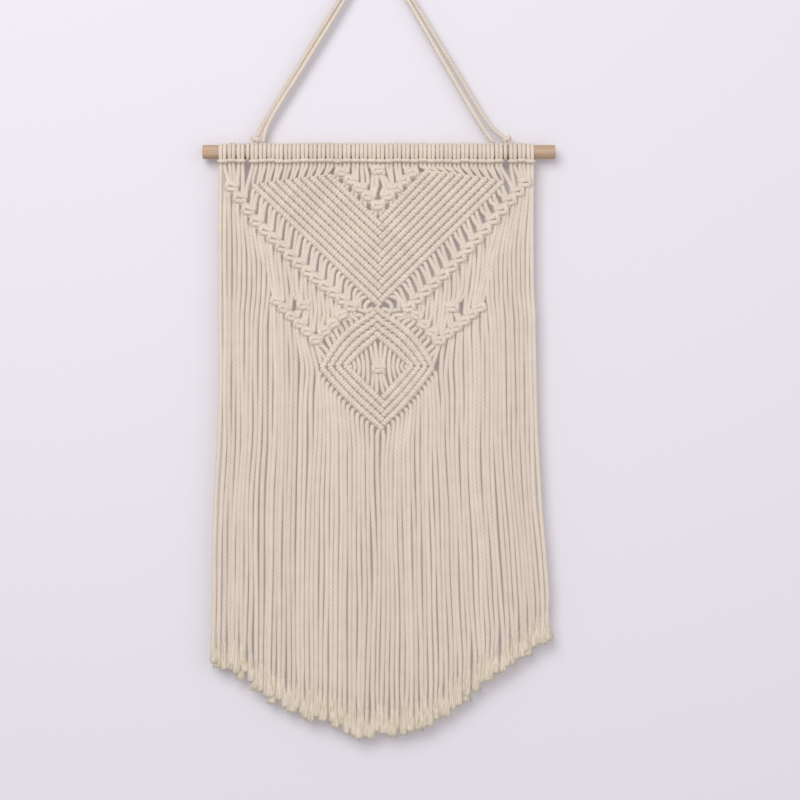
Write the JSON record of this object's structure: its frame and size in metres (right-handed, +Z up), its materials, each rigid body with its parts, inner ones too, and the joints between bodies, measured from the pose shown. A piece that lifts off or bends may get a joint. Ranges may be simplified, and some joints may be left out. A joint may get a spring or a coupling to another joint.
{
  "type": "macrame wall hanging on a dowel",
  "caption": "Cream cotton macrame panel knotted on a wooden dowel: a chevron over a diamond, side braids and a long V-cut fringe, hung from a doubled cord.",
  "frame": {"origin": "the hang point: the top of the nail, under the highest point of the doubled hanging cord", "axes": "+Z up, +X to the viewer's right along the dowel, front faces -Y, the wall is at +Y"},
  "size_m": [0.3561, 0.021, 0.7957],
  "materials": {
    "wood": "bare sanded beech, matt",
    "cotton_cord": "undyed twisted cotton cord, matt"
  },
  "bodies": {
    "root": {"accent_knot_left": "cotton_cord", "accent_knot_right": "cotton_cord", "centre_net": "cotton_cord", "chevron": "cotton_cord", "diamond": "cotton_cord", "diamond_knot": "cotton_cord", "diamond_links_left": "cotton_cord", "diamond_links_right": "cotton_cord", "diamond_web": "cotton_cord", "dowel": "wood", "fringe": "cotton_cord", "hanger_knot_left": "cotton_cord", "hanger_knot_right": "cotton_cord", "hanger_strand_inner": "cotton_cord", "hanger_strand_outer": "cotton_cord", "hanger_wrap_left": "cotton_cord", "hanger_wrap_right": "cotton_cord", "heading_left": "cotton_cord", "heading_middle": "cotton_cord", "heading_right": "cotton_cord", "link_net_left": "cotton_cord", "link_net_right": "cotton_cord", "outer_braid_left": "cotton_cord", "outer_braid_right": "cotton_cord", "web_left": "cotton_cord", "web_right": "cotton_cord", "wing_left": "cotton_cord", "wing_right": "cotton_cord"}
  },
  "joints": []
}
